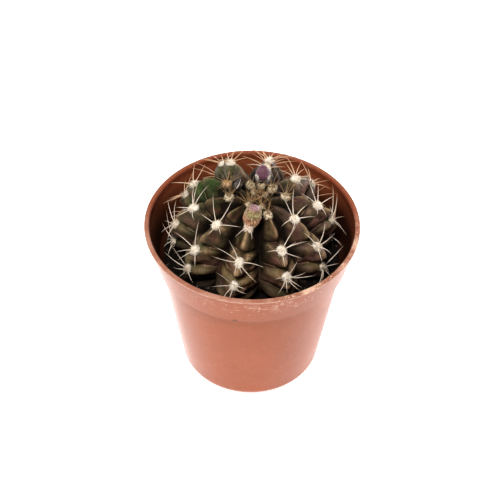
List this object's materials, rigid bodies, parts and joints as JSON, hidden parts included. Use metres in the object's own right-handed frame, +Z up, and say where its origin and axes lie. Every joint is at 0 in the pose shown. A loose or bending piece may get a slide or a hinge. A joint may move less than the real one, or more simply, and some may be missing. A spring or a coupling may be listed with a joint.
{
  "type": "potted round cactus",
  "caption": "Small round ribbed cactus with woolly areoles, ivory spines and flower buds, growing in soil in a tapered plastic nursery pot with a collar.",
  "frame": {"origin": "the middle of the pot's foot, on the surface it stands on", "axes": "+Z up along the pot's axis, -Y toward the viewer's side of the picture, +X to the right"},
  "size_m": [0.055, 0.055, 0.0648],
  "materials": {
    "pot_plastic": "satin terracotta-coloured plastic",
    "soil": "rough dark peat",
    "cactus_skin": "waxy dark olive-brown skin",
    "areole_wool": "cream-white felted wool of the areoles",
    "spine": "smooth horn-like ivory spines, brown when young",
    "bud_pale": "soft scales, greenish with pink edges",
    "bud_purple": "soft dark purple scales with pale edges"
  },
  "bodies": {
    "root": {"pot": "pot_plastic", "soil": "soil", "cactus": "cactus_skin", "flower_bud_front": "bud_pale", "flower_bud_back": "bud_purple", "flower_bud_small": "bud_purple"}
  },
  "joints": []
}
